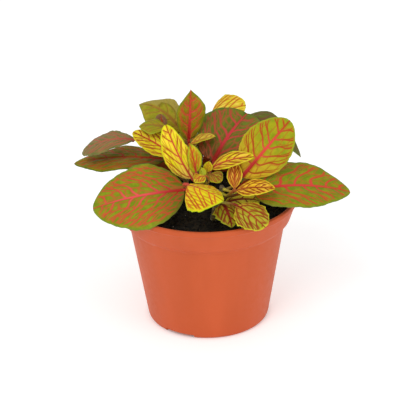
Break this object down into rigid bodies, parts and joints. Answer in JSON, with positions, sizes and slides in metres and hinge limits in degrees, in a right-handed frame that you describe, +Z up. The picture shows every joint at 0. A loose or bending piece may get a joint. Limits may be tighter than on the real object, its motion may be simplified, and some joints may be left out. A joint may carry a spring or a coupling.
{
  "type": "potted nerve plant",
  "caption": "Small leafy nerve plant with net-veined oval leaves on short stems, planted in soil in a round terracotta-coloured plastic pot with a flared collar.",
  "frame": {"origin": "on the pot's axis, at its flat underside", "axes": "+Z up along the pot's axis, -Y towards the side shown in the picture"},
  "size_m": [0.1369, 0.1036, 0.1167],
  "materials": {
    "pot_plastic": "matt moulded terracotta-coloured plastic",
    "soil": "moist dark peat-like soil with pale grains",
    "stem": "soft green-brown skin with fine hairs",
    "leaf_mature": "satin olive-green leaf with a raised pink and orange-red net of veins",
    "leaf_green": "satin yellow-green leaf with orange-red veins",
    "leaf_young": "satin young yellow leaf with dark red veins"
  },
  "bodies": {
    "root": {"pot": "pot_plastic", "potting_soil": "soil", "stem_main": "stem", "stem_right": "stem", "stem_front": "stem", "stem_back": "stem", "stem_left": "stem", "leaf_front_left": "leaf_mature", "leaf_front_right": "leaf_mature", "leaf_right_upright": "leaf_green", "leaf_back_centre": "leaf_mature", "leaf_top_upright": "leaf_mature", "leaf_top_left": "leaf_green", "leaf_back_left_small": "leaf_green", "leaf_back_left_dull": "leaf_mature", "leaf_left_yellow": "leaf_young", "leaf_centre_yellow": "leaf_young", "leaf_centre_small": "leaf_young", "leaf_top_small": "leaf_young", "leaf_front_yellow": "leaf_young", "leaf_front_curled": "leaf_young", "leaf_right_yellow": "leaf_young", "leaf_right_small": "leaf_young", "leaf_branch_up": "leaf_young", "leaf_branch_right": "leaf_young", "leaf_low_front": "leaf_green", "leaf_low_back": "leaf_green", "leaf_low_right": "leaf_young", "leaf_top_yellow": "leaf_young", "leaf_back_right": "leaf_mature", "leaf_left_low": "leaf_mature", "leaf_left_high": "leaf_mature", "leaf_rear_left": "leaf_mature", "leaf_rear_right": "leaf_mature", "leaf_rear_centre": "leaf_mature", "leaf_right_low": "leaf_mature", "leaf_left_under": "leaf_mature", "leaf_rear_upper_left": "leaf_green", "leaf_rear_upper_right": "leaf_green", "leaf_bud_right": "leaf_young", "leaf_bud_left": "leaf_green"}
  },
  "joints": []
}
